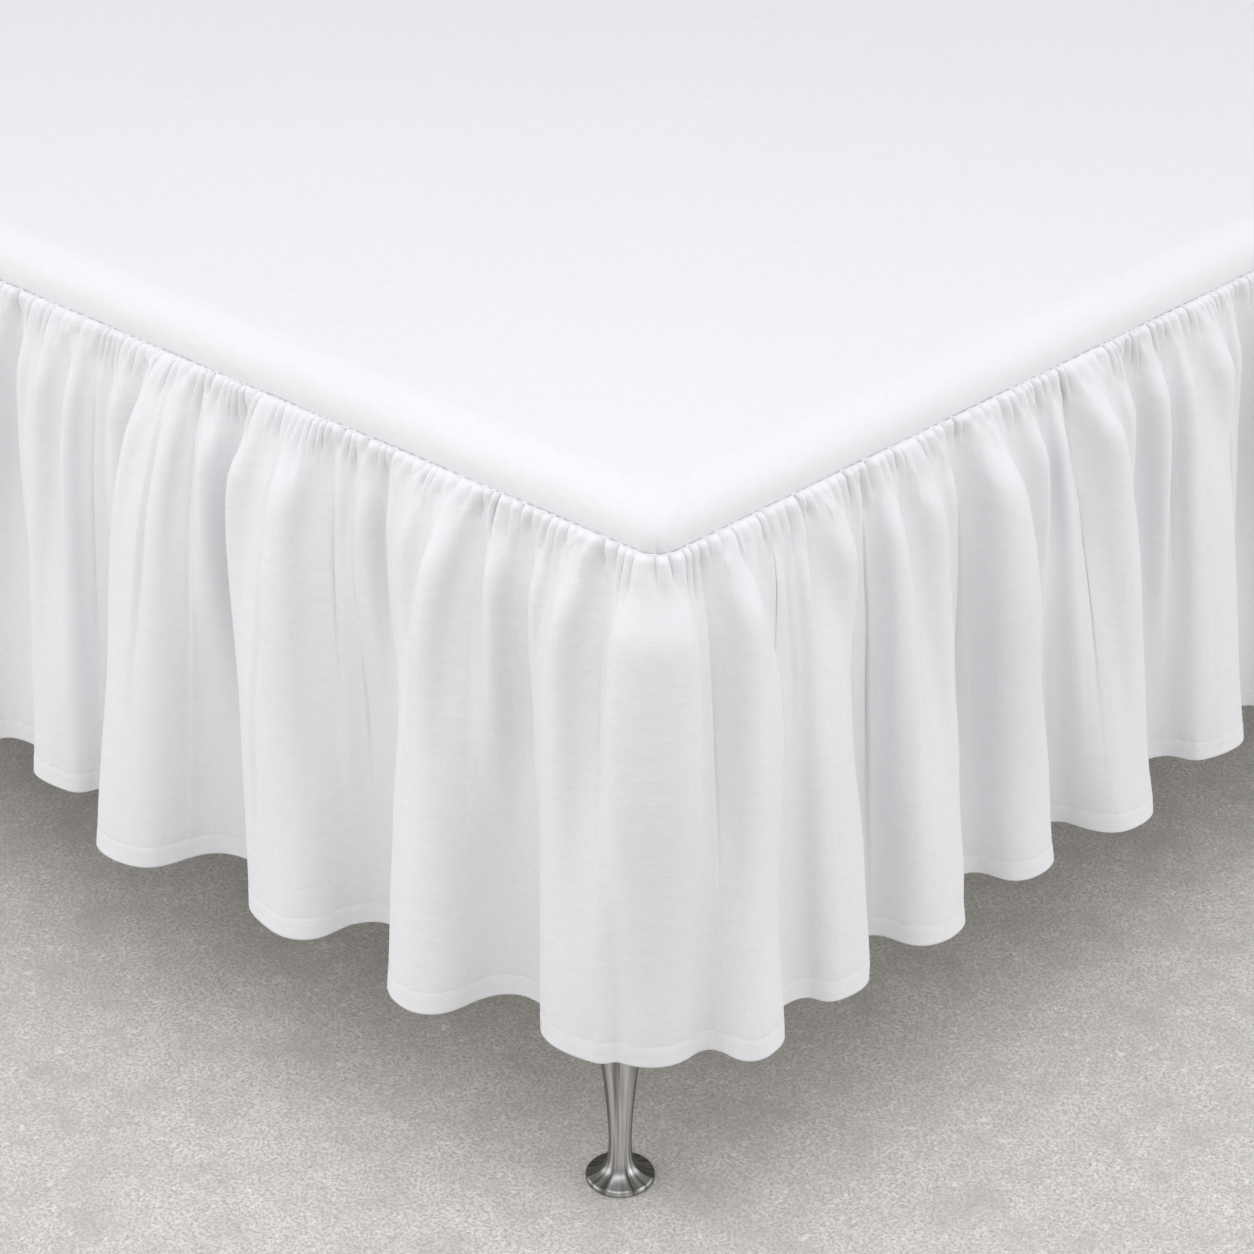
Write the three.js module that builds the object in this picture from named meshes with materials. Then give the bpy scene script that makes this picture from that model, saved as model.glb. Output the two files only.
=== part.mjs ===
// A gathered bed skirt on a plain bed base with four turned legs.
// Millimetres, +Z up. X runs across the bed and Y along it, with the foot of the bed at -Y.
// The origin is on the floor, under the middle of the whole outline.
import * as THREE from "three";

// Driving dimensions
const BED_WIDTH = 1372;
const BED_LENGTH = 1905;
const TOP_HEIGHT = 544; // upper face of the platform panel
const SEAM_HEIGHT = 512; // seam line between the panel and the ruffle
const BASE_UNDERSIDE = 185;
const DROP = 362; // seam to hem in the valleys of the folds
const CLOTH = 2; // sheet thickness
const TOUCH_GAP = 0.3; // between pieces that touch
const SIDE_CLEARANCE = 2; // between the base's sides and the cloth
const SEAM_CORNER = 15; // plan radius of the seam line at the bed's corners
const PANEL_CORNER_EASE = 0.7; // how much rounder the corners grow, for each mm in from the seam line
const BASE_CORNER = 20; // plan radius of the base's corners, inside the skirt
const BASE_CORNER_EASE = 1;
const EDGE_ROUND = 27; // radius of the panel where it bends over the base's edge
const BASE_FOOT_BEVEL = 6;

// Facets
const CORNER_STEPS = 6;
const BEND_STEPS = 5;
const FOLD_STEPS = 5; // columns from the crest of a fold to the next valley
const ROW_DEPTHS = [0, 0.03, 0.12, 0.3, 0.6, 1]; // rows of the ruffle, as shares of the drop
const LEG_SIDES = 18;

// Ruffle
const RISE_POWER = 0.7; // how the folds open from the seam to the hem
const HEADING_PUFF = 3; // the gathers stand out this far just under the seam
const FLANK_STEEPNESS = 0.8; // 0 gives rounded waves at the hem, 1 gives upright flanks
const END_STAND_OFF = 14; // where the ruffle ends at the head of the bed
const HEM_LIFT = 4; // the hem rises this much where it stands out most
const CORNER_STAND_OFF = 13; // shallow valley at each foot corner
const JOIN_PHASE = 0.5; // the strip's joins lie on a flank, half-way from crest to valley
const JOIN_HALF_GAP = 0.0055; // half the gap at a join, in the same measure

// Folds, one row each, counted away from a foot corner. crestAtSeam and crestAtHem are distances
// from the corner, and crestOut and valleyOut how far the hem stands out from the seam line, at
// the crest and in the valley that follows it.
const FOOT_FOLDS = [
  { crestAtSeam: 64, crestAtHem: 54, crestOut: 32, valleyOut: 5 },
  { crestAtSeam: 176, crestAtHem: 157, crestOut: 73, valleyOut: 13 },
  { crestAtSeam: 333, crestAtHem: 294, crestOut: 73, valleyOut: 18 },
  { crestAtSeam: 452, crestAtHem: 447, crestOut: 92, valleyOut: 24 },
  { crestAtSeam: 565, crestAtHem: 560, crestOut: 57, valleyOut: 26 },
  { crestAtSeam: 680, crestAtHem: 672, crestOut: 60, valleyOut: 15 },
  { crestAtSeam: 800, crestAtHem: 806, crestOut: 72, valleyOut: 12 },
  { crestAtSeam: 925, crestAtHem: 930, crestOut: 58, valleyOut: 18 },
  { crestAtSeam: 1050, crestAtHem: 1062, crestOut: 80, valleyOut: 10 },
  { crestAtSeam: 1185, crestAtHem: 1190, crestOut: 62, valleyOut: 12 },
  { crestAtSeam: 1318, crestAtHem: 1330, crestOut: 40, valleyOut: CORNER_STAND_OFF },
];
const SIDE_FOLDS = [
  { crestAtSeam: 75, crestAtHem: 55, crestOut: 47, valleyOut: 15 },
  { crestAtSeam: 138, crestAtHem: 147, crestOut: 48, valleyOut: 13 },
  { crestAtSeam: 228, crestAtHem: 241, crestOut: 53, valleyOut: 8 },
  { crestAtSeam: 325, crestAtHem: 352, crestOut: 48, valleyOut: 6 },
  { crestAtSeam: 412, crestAtHem: 446, crestOut: 60, valleyOut: 12 },
  { crestAtSeam: 555, crestAtHem: 586, crestOut: 48, valleyOut: 10 },
  { crestAtSeam: 660, crestAtHem: 690, crestOut: 58, valleyOut: 14 },
  { crestAtSeam: 765, crestAtHem: 786, crestOut: 46, valleyOut: 8 },
  { crestAtSeam: 872, crestAtHem: 900, crestOut: 64, valleyOut: 12 },
  { crestAtSeam: 985, crestAtHem: 1002, crestOut: 50, valleyOut: 16 },
  { crestAtSeam: 1085, crestAtHem: 1115, crestOut: 56, valleyOut: 7 },
  { crestAtSeam: 1200, crestAtHem: 1222, crestOut: 66, valleyOut: 12 },
  { crestAtSeam: 1310, crestAtHem: 1322, crestOut: 48, valleyOut: 14 },
  { crestAtSeam: 1405, crestAtHem: 1432, crestOut: 60, valleyOut: 8 },
  { crestAtSeam: 1520, crestAtHem: 1530, crestOut: 52, valleyOut: 15 },
  { crestAtSeam: 1615, crestAtHem: 1640, crestOut: 62, valleyOut: 10 },
  { crestAtSeam: 1730, crestAtHem: 1742, crestOut: 54, valleyOut: 8 },
  { crestAtSeam: 1830, crestAtHem: 1838, crestOut: 44, valleyOut: END_STAND_OFF },
];
const LEFT_SIDE_FLIP = 1893; // the left side has the same folds, counted from the head end

// Legs: a disc foot, a thin neck and a trumpet that opens towards the base
const LEG_IN_FROM_SIDE = 65; // leg axis to the seam line, across the bed
const LEG_IN_FROM_END = 35; // leg axis to the seam line, along the bed
const LEG_OUTLINE = [
  { height: 0, radius: 22.6 },
  { height: 1.3, radius: 23.9 },
  { height: 3.8, radius: 23.9 },
  { height: 5, radius: 22.6 },
  { height: 6.4, radius: 17.5 },
  { height: 9, radius: 12.6 },
  { height: 13, radius: 9.6 },
  { height: 19, radius: 8.3 },
  { height: 29, radius: 7.8 },
  { height: 40, radius: 8 },
  { height: 56, radius: 8.9 },
  { height: 76, radius: 10.7 },
  { height: 98, radius: 13.3 },
  { height: 124, radius: 17.4 },
  { height: 154, radius: 23 },
  { height: BASE_UNDERSIDE - TOUCH_GAP, radius: 27 },
];

// Worked-out sizes
const SEAM_HALF_WIDTH = BED_WIDTH / 2 + SIDE_CLEARANCE + CLOTH;
const SEAM_HALF_LENGTH = BED_LENGTH / 2 + SIDE_CLEARANCE + CLOTH;
const FOOT_REACH = Math.max(...FOOT_FOLDS.map((fold) => fold.crestOut));
const BED_MIDDLE_Y = FOOT_REACH / 2; // the hem stands out at the foot end alone
const CORNER_ARC = (Math.PI / 2) * SEAM_CORNER;
const SIDE_RUN = 2 * (SEAM_HALF_LENGTH - SEAM_CORNER);
const FOOT_RUN = 2 * (SEAM_HALF_WIDTH - SEAM_CORNER);

const clothWhite = new THREE.MeshStandardMaterial({ color: "#f3f3f4", roughness: 0.9, metalness: 0 });
const baseCover = new THREE.MeshStandardMaterial({ color: "#e4e3e0", roughness: 0.95, metalness: 0 });
const legSteel = new THREE.MeshStandardMaterial({ color: "#b9bbbd", roughness: 0.3, metalness: 1 });

// Closed solid through rings of equal length, from the middle of the first ring's face to the
// middle of the last one's. The rings run counter-clockwise seen from above.
function loftRings(rings) {
  const count = rings[0].length;
  const middle = (ring) => [0, 0, ring[0][2]];
  const points = [middle(rings[0]), ...rings.flat(), middle(rings[rings.length - 1])];
  const last = points.length - 1;
  const triangles = [];
  for (let i = 0; i < count; i++) {
    const next = (i + 1) % count;
    triangles.push(0, 1 + next, 1 + i);
    for (let r = 0; r < rings.length - 1; r++) {
      const low = 1 + r * count;
      const high = low + count;
      triangles.push(low + i, low + next, high + next);
      triangles.push(low + i, high + next, high + i);
    }
    triangles.push(last, last - count + i, last - count + next);
  }
  return solidGeometry(points, triangles);
}

function solidGeometry(points, triangles) {
  const geometry = new THREE.BufferGeometry();
  geometry.setAttribute("position", new THREE.Float32BufferAttribute(points.flat(), 3));
  geometry.setIndex(triangles);
  geometry.computeVertexNormals();
  return geometry;
}

// A rectangle with round corners at one height
function roundedRing(halfWidth, halfLength, radius, height) {
  const ring = [];
  const corners = [[1, 1], [-1, 1], [-1, -1], [1, -1]];
  corners.forEach(([sideX, sideY], quarter) => {
    for (let step = 0; step <= CORNER_STEPS; step++) {
      const angle = (Math.PI / 2) * (quarter + step / CORNER_STEPS);
      const x = sideX * (halfWidth - radius) + radius * Math.cos(angle);
      const y = sideY * (halfLength - radius) + radius * Math.sin(angle);
      ring.push([x, y, height]);
    }
  });
  return ring;
}

// Rings of a rounded edge, from upright at its foot to flat at its top
function bendRings(halfWidth, halfLength, cornerRadius, cornerEase, topHeight, bendRadius) {
  const rings = [];
  for (let step = 0; step <= BEND_STEPS; step++) {
    const angle = (Math.PI / 2) * (step / BEND_STEPS);
    const inset = bendRadius * (1 - Math.cos(angle));
    const height = topHeight - bendRadius * (1 - Math.sin(angle));
    const radius = cornerRadius + cornerEase * inset;
    rings.push(roundedRing(halfWidth - inset, halfLength - inset, radius, height));
  }
  return rings;
}

function platformPanel() {
  const innerHalfWidth = SEAM_HALF_WIDTH - CLOTH;
  const innerHalfLength = SEAM_HALF_LENGTH - CLOTH;
  const innerCorner = SEAM_CORNER - CLOTH;
  const innerTop = TOP_HEIGHT - CLOTH;
  const ease = PANEL_CORNER_EASE;
  const innerBend = bendRings(innerHalfWidth, innerHalfLength, innerCorner, ease, innerTop, EDGE_ROUND - CLOTH);
  const outerBend = bendRings(SEAM_HALF_WIDTH, SEAM_HALF_LENGTH, SEAM_CORNER, ease, TOP_HEIGHT, EDGE_ROUND);
  const innerEdge = roundedRing(innerHalfWidth, innerHalfLength, innerCorner, SEAM_HEIGHT);
  const outerEdge = roundedRing(SEAM_HALF_WIDTH, SEAM_HALF_LENGTH, SEAM_CORNER, SEAM_HEIGHT);
  return loftRings([...innerBend.reverse(), innerEdge, outerEdge, ...outerBend]);
}

function bedBase() {
  const halfWidth = BED_WIDTH / 2;
  const halfLength = BED_LENGTH / 2;
  const top = TOP_HEIGHT - CLOTH - TOUCH_GAP;
  const bevel = BASE_FOOT_BEVEL;
  return loftRings([
    roundedRing(halfWidth - bevel, halfLength - bevel, BASE_CORNER - bevel, BASE_UNDERSIDE),
    roundedRing(halfWidth, halfLength, BASE_CORNER, BASE_UNDERSIDE + bevel),
    ...bendRings(halfWidth, halfLength, BASE_CORNER, BASE_CORNER_EASE, top, EDGE_ROUND - CLOTH - SIDE_CLEARANCE),
  ]);
}

// The seam line, measured from its left end at the head of the bed, down the left side, across
// the foot and up the right side: a point on it and the direction that faces out of the bed.
function seamAt(distance) {
  const straightX = SEAM_HALF_WIDTH - SEAM_CORNER;
  const straightY = SEAM_HALF_LENGTH - SEAM_CORNER;
  const onLeft = distance - SIDE_RUN;
  const onFoot = onLeft - CORNER_ARC;
  const onRightCorner = onFoot - FOOT_RUN;
  const onRight = onRightCorner - CORNER_ARC;
  if (onLeft <= 0) {
    return { x: -SEAM_HALF_WIDTH, y: straightY - distance, outX: -1, outY: 0 };
  }
  if (onFoot <= 0) {
    return cornerAt(-straightX, -straightY, Math.PI + onLeft / SEAM_CORNER);
  }
  if (onRightCorner <= 0) {
    return { x: -straightX + onFoot, y: -SEAM_HALF_LENGTH, outX: 0, outY: -1 };
  }
  if (onRight <= 0) {
    return cornerAt(straightX, -straightY, Math.PI * 1.5 + onRightCorner / SEAM_CORNER);
  }
  return { x: SEAM_HALF_WIDTH, y: -straightY + onRight, outX: 1, outY: 0 };
}

function cornerAt(centreX, centreY, angle) {
  const outX = Math.cos(angle);
  const outY = Math.sin(angle);
  return { x: centreX + SEAM_CORNER * outX, y: centreY + SEAM_CORNER * outY, outX, outY };
}

// Crests and valleys in order along the seam line
function ruffleStations() {
  const leftCorner = SIDE_RUN + CORNER_ARC;
  const rightCorner = leftCorner + FOOT_RUN;
  const crests = [];
  const valleys = [];
  const addCrest = (place, fold, valleyOut) => {
    crests.push({ seam: place(fold.crestAtSeam), hem: place(fold.crestAtHem), out: fold.crestOut });
    valleys.push(valleyOut);
  };
  const alongLeft = (distance) => SIDE_RUN + SEAM_CORNER - (LEFT_SIDE_FLIP - distance);
  const alongFoot = (distance) => rightCorner + SEAM_CORNER - distance;
  const alongRight = (distance) => rightCorner + CORNER_ARC - SEAM_CORNER + distance;
  const lastSide = SIDE_FOLDS.length - 1;
  SIDE_FOLDS.forEach((fold, i) => {
    addCrest(alongLeft, fold, i < lastSide ? fold.valleyOut : CORNER_STAND_OFF);
  });
  for (let i = FOOT_FOLDS.length - 1; i >= 0; i--) {
    addCrest(alongFoot, FOOT_FOLDS[i], i > 0 ? FOOT_FOLDS[i - 1].valleyOut : CORNER_STAND_OFF);
  }
  SIDE_FOLDS.forEach((fold) => addCrest(alongRight, fold, fold.valleyOut));

  const pathEnd = 2 * SIDE_RUN + 2 * CORNER_ARC + FOOT_RUN;
  const stations = [{ seam: 0, hem: 0, out: END_STAND_OFF }];
  crests.forEach((crest, i) => {
    const next = crests[i + 1] ?? { seam: 2 * pathEnd - crest.seam, hem: 2 * pathEnd - crest.hem };
    const valley = { seam: (crest.seam + next.seam) / 2, hem: (crest.hem + next.hem) / 2, out: valleys[i] };
    stations.push(crest, valley);
  });
  return stations;
}

const STATIONS = ruffleStations();

// Middle of the cloth at a phase, in whole steps from station to station, and a depth from 0 at
// the seam to 1 at the hem
function rufflePoint(phase, depth) {
  const index = Math.min(Math.floor(phase), STATIONS.length - 2);
  const share = phase - index;
  const from = STATIONS[index];
  const to = STATIONS[index + 1];
  const steep = share + (FLANK_STEEPNESS * Math.sin(2 * Math.PI * share)) / (2 * Math.PI);
  const wave = (1 - Math.cos(Math.PI * share)) / 2;
  const alongSeam = from.seam + (to.seam - from.seam) * share;
  const alongHem = from.hem + (to.hem - from.hem) * steep;
  const seam = seamAt(alongSeam + (alongHem - alongSeam) * depth);
  const hemOut = from.out + (to.out - from.out) * wave;
  const puff = HEADING_PUFF * Math.min(1, depth / ROW_DEPTHS[1]) * (1 - depth);
  const out = hemOut * depth ** RISE_POWER + puff - CLOTH / 2;
  const fall = DROP - (HEM_LIFT * hemOut) / FOOT_REACH;
  return [seam.x + seam.outX * out, seam.y + seam.outY * out, SEAM_HEIGHT - TOUCH_GAP - depth * fall];
}

// The two faces of the cloth, half a thickness to each side of its middle
function ruffleFaces(phase, depth) {
  const reach = 0.01;
  const before = rufflePoint(Math.max(phase - reach, 0), depth);
  const after = rufflePoint(Math.min(phase + reach, STATIONS.length - 1), depth);
  const alongX = after[0] - before[0];
  const alongY = after[1] - before[1];
  const half = CLOTH / 2 / Math.hypot(alongX, alongY);
  const [x, y, z] = rufflePoint(phase, depth);
  return {
    outer: [x + alongY * half, y - alongX * half, z],
    inner: [x - alongY * half, y + alongX * half, z],
  };
}

// One length of the ruffle, between two phases
function ruffleLength(fromPhase, toPhase) {
  const phases = [fromPhase];
  const margin = 0.02;
  for (let step = Math.ceil(fromPhase * FOLD_STEPS); step <= toPhase * FOLD_STEPS; step++) {
    const phase = step / FOLD_STEPS;
    if (phase > fromPhase + margin && phase < toPhase - margin) {
      phases.push(phase);
    }
  }
  phases.push(toPhase);
  const rows = ROW_DEPTHS.length;
  const points = [];
  for (const phase of phases) {
    const faces = ROW_DEPTHS.map((depth) => ruffleFaces(phase, depth));
    points.push(...faces.map((face) => face.outer), ...faces.map((face) => face.inner).reverse());
  }
  // Each column is a loop down the outer face and back up the inner one
  const loop = 2 * rows;
  const triangles = [];
  for (let column = 0; column < phases.length - 1; column++) {
    for (let i = 0; i < loop; i++) {
      const here = column * loop + i;
      const below = column * loop + ((i + 1) % loop);
      triangles.push(here, below, below + loop);
      triangles.push(here, below + loop, here + loop);
    }
  }
  const lastLoop = (phases.length - 1) * loop;
  for (let row = 0; row < rows - 1; row++) {
    const back = loop - 1 - row;
    triangles.push(row, back, back - 1);
    triangles.push(row, back - 1, row + 1);
    triangles.push(lastLoop + row, lastLoop + back - 1, lastLoop + back);
    triangles.push(lastLoop + row, lastLoop + row + 1, lastLoop + back - 1);
  }
  return solidGeometry(points, triangles);
}

function turnedLeg() {
  const top = LEG_OUTLINE[LEG_OUTLINE.length - 1].height;
  const outline = LEG_OUTLINE.map(({ height, radius }) => new THREE.Vector2(radius, height));
  const profile = [new THREE.Vector2(0, 0), ...outline, new THREE.Vector2(0, top)];
  return new THREE.LatheGeometry(profile, LEG_SIDES).rotateX(Math.PI / 2);
}

function addPiece(group, name, geometry, material, x = 0, y = 0) {
  const piece = new THREE.Mesh(geometry, material);
  piece.name = name;
  piece.position.set(x, y, 0);
  group.add(piece);
}

const bed = new THREE.Group();
bed.position.y = BED_MIDDLE_Y;

addPiece(bed, "bed_base", bedBase(), baseCover);
addPiece(bed, "platform_panel", platformPanel(), clothWhite);

// Each join lies on the far flank of the first fold round a foot corner
const lastPhase = STATIONS.length - 1;
const leftJoin = 2 * SIDE_FOLDS.length - 2 + JOIN_PHASE;
const rightJoin = lastPhase - 2 * SIDE_FOLDS.length + 1 + JOIN_PHASE;
addPiece(bed, "ruffle_left", ruffleLength(0, leftJoin - JOIN_HALF_GAP), clothWhite);
addPiece(bed, "ruffle_foot", ruffleLength(leftJoin + JOIN_HALF_GAP, rightJoin - JOIN_HALF_GAP), clothWhite);
addPiece(bed, "ruffle_right", ruffleLength(rightJoin + JOIN_HALF_GAP, lastPhase), clothWhite);

const legX = SEAM_HALF_WIDTH - LEG_IN_FROM_SIDE;
const legY = SEAM_HALF_LENGTH - LEG_IN_FROM_END;
for (const [end, y] of [["foot", -legY], ["head", legY]]) {
  for (const [side, x] of [["left", -legX], ["right", legX]]) {
    addPiece(bed, `leg_${end}_${side}`, turnedLeg(), legSteel, x, y);
  }
}

export default bed;
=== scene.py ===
"""A gathered bed skirt on a plain bed base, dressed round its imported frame.

Lengths are in metres, in the frame's own place: +Z up, the head end towards +Y.
The fold tables are in millimetres, measured along the seam line.
"""

import math

import bmesh
import bpy
import numpy as np
from bpy.props import FloatProperty, FloatVectorProperty, IntProperty, PointerProperty
from mathutils import Matrix, Vector


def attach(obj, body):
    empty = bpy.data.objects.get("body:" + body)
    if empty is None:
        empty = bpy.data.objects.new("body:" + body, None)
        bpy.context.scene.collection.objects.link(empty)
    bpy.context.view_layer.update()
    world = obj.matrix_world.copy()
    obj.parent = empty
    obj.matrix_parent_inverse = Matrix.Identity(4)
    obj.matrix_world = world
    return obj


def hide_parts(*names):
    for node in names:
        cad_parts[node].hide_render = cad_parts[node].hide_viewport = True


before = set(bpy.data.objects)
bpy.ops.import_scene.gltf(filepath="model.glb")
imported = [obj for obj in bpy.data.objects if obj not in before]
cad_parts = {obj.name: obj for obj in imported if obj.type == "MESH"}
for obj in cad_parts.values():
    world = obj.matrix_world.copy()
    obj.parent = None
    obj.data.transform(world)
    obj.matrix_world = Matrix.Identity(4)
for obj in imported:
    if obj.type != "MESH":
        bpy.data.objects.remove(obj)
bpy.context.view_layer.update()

bl_info = {
    "name": "Gathered bed skirt",
    "version": (1, 0, 0),
    "blender": (4, 5, 0),
    "location": "View3D > Sidebar > Bed skirt",
    "description": "A gathered bed skirt on a bed base with four turned legs, and its stage",
    "category": "Object",
}

MM = 0.001

# Seam line and hang of the cloth, in millimetres
SIDE_CLEARANCE = 2  # from the base's side to the panel
CLOTH = 2  # room that the cloth takes up
SEAM_CORNER = 15  # radius of the seam line at a corner
CORNER_EASE = 0.7  # how much rounder the panel's corners grow for each millimetre inwards
FLAT_CORNER_EASE = 0.1  # the same, past the bend
BASE_CORNER = 38  # radius of the base's upright edges
EDGE_ROUND = 27  # radius of the panel's bend over the base
CORNER_STAND_OFF = 13  # how far the valley at a foot corner stands out at the hem
CORNER_SLIP = 17  # how far that valley slips round on to the side by the hem
END_STAND_OFF = 14  # how far the open ends at the head stand out at the hem
FLANK_STEEPNESS = 0.8  # of a main fold's flanks, from 0, even, to 1, upright
RISE_POWER = 0.7  # below 1, the main folds open fastest by the seam
HEM_LIFT = 4  # how much higher the hem of the fullest fold hangs
TOUCH_GAP = 0.3  # between pieces that lie on each other
KEEP_CLEAR = -1.6  # where a hollow is eased out, from the seam line, below 0 towards the base
KEEP_SOFT = 0.9  # how softly that starts
KEEP_FLOOR = -2.9  # a ruffle never comes nearer to the base than this
CREASE_LEAN = 1.9  # power of the way between two small creases, 1 for upright ones
VALLEY_LEAN = 0.8  # what the soft valleys' power has over 1, at most
HEM_DOUBLE = 0.9  # how much thicker the turned-up hem is

# Main folds of the foot ruffle, counted from a foot corner:
# (crest at the seam, crest at the hem, how far it stands out there, the same for the next valley)
FOOT_FOLDS = (
    (64, 54, 34, 5), (176, 157, 73, 6), (333, 294, 73, 22), (452, 447, 92, 24),
    (565, 560, 57, 26), (680, 672, 60, 15), (800, 806, 72, 12), (925, 930, 58, 18),
    (1050, 1062, 80, 10), (1185, 1190, 62, 12), (1318, 1330, 40, CORNER_STAND_OFF),
)
# The same for a side ruffle, counted from its foot corner
SIDE_FOLDS = (
    (75, 53, 49, 21), (138, 147, 48, 3), (228, 241, 53, 3), (325, 352, 48, 6),
    (412, 446, 60, 4), (555, 586, 48, 10), (660, 690, 58, 14), (765, 786, 46, 8),
    (872, 900, 64, 12), (985, 1002, 50, 16), (1085, 1115, 56, 7), (1200, 1222, 66, 12),
    (1310, 1322, 48, 14), (1405, 1432, 60, 8), (1520, 1530, 52, 15), (1615, 1640, 62, 10),
    (1730, 1742, 54, 8), (1830, 1838, 44, END_STAND_OFF),
)
LEFT_SIDE_FLIP = 1893  # the left side's folds are counted from this far up the side, down to the foot
# The joins between the ruffle lengths: place and half gap, as shares of the way from crest to valley
JOIN_PHASE = 0.5
JOIN_HALF_GAP = 0.0055

# Soft valleys under the gathers, from a foot corner:
# (place, depth in tenths of a full valley, how far down it lasts)
FOOT_VALLEYS = (
    (40, 10, 250), (71, 5, 120), (98, 7, 250), (142, 9, 190), (178, 6, 160), (209, 4, 70),
    (229, 9, 180), (260, 4, 90), (280, 8, 250), (331, 8, 210), (366, 10, 310), (411, 6, 160),
    (438, 4, 220), (465, 10, 220), (503, 4, 70), (522, 6, 270), (549, 8, 270), (580, 4, 100),
    (609, 9, 240),
)
SIDE_VALLEYS = (
    (33, 8, 270), (77, 5, 110), (105, 4, 100), (123, 8, 140), (166, 4, 70), (182, 6.5, 270),
    (214, 10, 300), (247, 4, 90), (275, 10, 270), (326, 9, 260), (366, 6, 150), (389, 12, 310),
    (431, 5, 110), (467, 8, 270), (507, 7, 290), (534, 8, 120), (577, 6, 110), (600, 9, 290),
)
END_VALLEY = (5, 200)  # depth and length of the ones at the open ends
VALLEY_ROOM = 22  # from these valleys to the first random one
LEAST_VALLEY_STEP = 13

# Columns of the cloth between two creases, as shares of the way, by the foot and far up the sides
NEAR_SHARES = (0, 0.10, 0.26, 0.46, 0.66, 0.86)
FAR_SHARES = (0, 0.13, 0.5, 0.87)
NEAR_SIDE = 720

# Cloth rows in millimetres, dense at the heading and round the hem's stitching:
# below the seam, above or below the stitching, and above the hem's edge
HEADING_ROWS = (
    -0.9, -0.5, 0.2, 1.2, 2.4, 3.8, 5.4, 7.2, 9.4, 12, 15.5, 20, 25, 31, 38, 46, 55, 65, 76, 88, 101, 115,
)
BODY_ROWS = (134, 156, 180, 206, 232, 258, 284, 310, 330)
HEM_TOP_ROWS = (2.4, 0.8, 0, -0.8, -2.4)
HEM_FOOT_ROWS = (9, 4, 1.2, 0)

# Leg outline: (height, radius), in millimetres
LEG_OUTLINE = (
    (0, 22.2), (0.35, 23.2), (1.1, 23.8), (2.4, 23.9), (3.9, 23.7), (4.7, 23.0), (5.1, 21.8),
    (5.6, 19.6), (6.6, 16.9), (8.0, 14.2), (10, 11.9), (13, 10.1), (17, 8.9), (22, 8.2), (29, 7.9),
    (36, 7.9), (46, 8.3), (57, 9.0), (69, 10.0), (82, 11.3), (96, 13.0), (110, 15.0), (124, 17.4),
    (138, 20.0), (152, 22.7), (165, 24.9), (176, 26.3), (184.7, 27.0),
)
LEG_SIDES = 64
LEG_IN_FROM_SIDE = 65
LEG_IN_FROM_END = 35
TURN_UV = 0.03  # metres of brush marks for each radian round a leg

# The panel's grid and thickness, in millimetres
PANEL_THICKNESS = 1.4
PANEL_STEP = 2.6
PANEL_CORNER_STEPS = 24
PANEL_BENDS = 9
PANEL_COARSE = 8  # fine columns for each coarse one, further in
PANEL_COARSE_RINGS = (60, 78, 102, 132, 170, 215, 270, 335, 405, 475, 540, 590)

# One stitch of the hem, in millimetres: its share of the pitch, its half width, height and roots
STITCH_SHARE = 0.64
STITCH_HALF = 0.26
STITCH_HEIGHT = 0.24
STITCH_ROOT = 0.2
STITCH_TIP = 0.25
STITCH_OFF_CLOTH = 0.08

# name, place, aim, (width, height), power, colour
LIGHTS = (
    ("over_corner", (1.2, -1.7, 2.6), (0.4, -0.7, 0.5), (2.4, 2.4), 35, (1.0, 1.0, 1.0)),
    ("left_front", (-1.4, -4.0, 1.5), (0.2, -0.9, 0.3), (2.6, 2.0), 27, (1.0, 0.998, 0.994)),
    ("left_side", (-3.6, -2.9, 1.5), (0.2, -0.9, 0.3), (2.6, 2.0), 32, (1.0, 0.998, 0.994)),
    ("right_front", (3.9, 0.9, 1.5), (0.7, -0.4, 0.3), (2.6, 2.0), 32, (0.99, 0.995, 1.0)),
    ("right_side", (2.9, 3.4, 1.5), (0.7, -0.4, 0.3), (2.6, 2.0), 25, (0.99, 0.995, 1.0)),
)
FLOOR_SIZE = 24
FLOOR_HEIGHT = -0.0004
SKY_COLOUR = (0.97, 0.985, 1.0, 1)
SKY_ON_CLOTH = 0.66
SKY_IN_STEEL = 0.16
CAMERA_PLACE = (1.8402, -2.1568, 1.3739)
CAMERA_DOWN = 28.148
CAMERA_TURN = 43.331
LENS = 92.0
SENSOR = 36.0


def metres(name, default, description):
    """A size, in metres."""
    return FloatProperty(name=name, description=description, default=default, unit="LENGTH")


def tint(name, default, description):
    """A colour, as three numbers from 0 to 1."""
    look = {"subtype": "COLOR", "size": 3, "min": 0, "max": 1}
    return FloatVectorProperty(name=name, description=description, default=default, **look)


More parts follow.
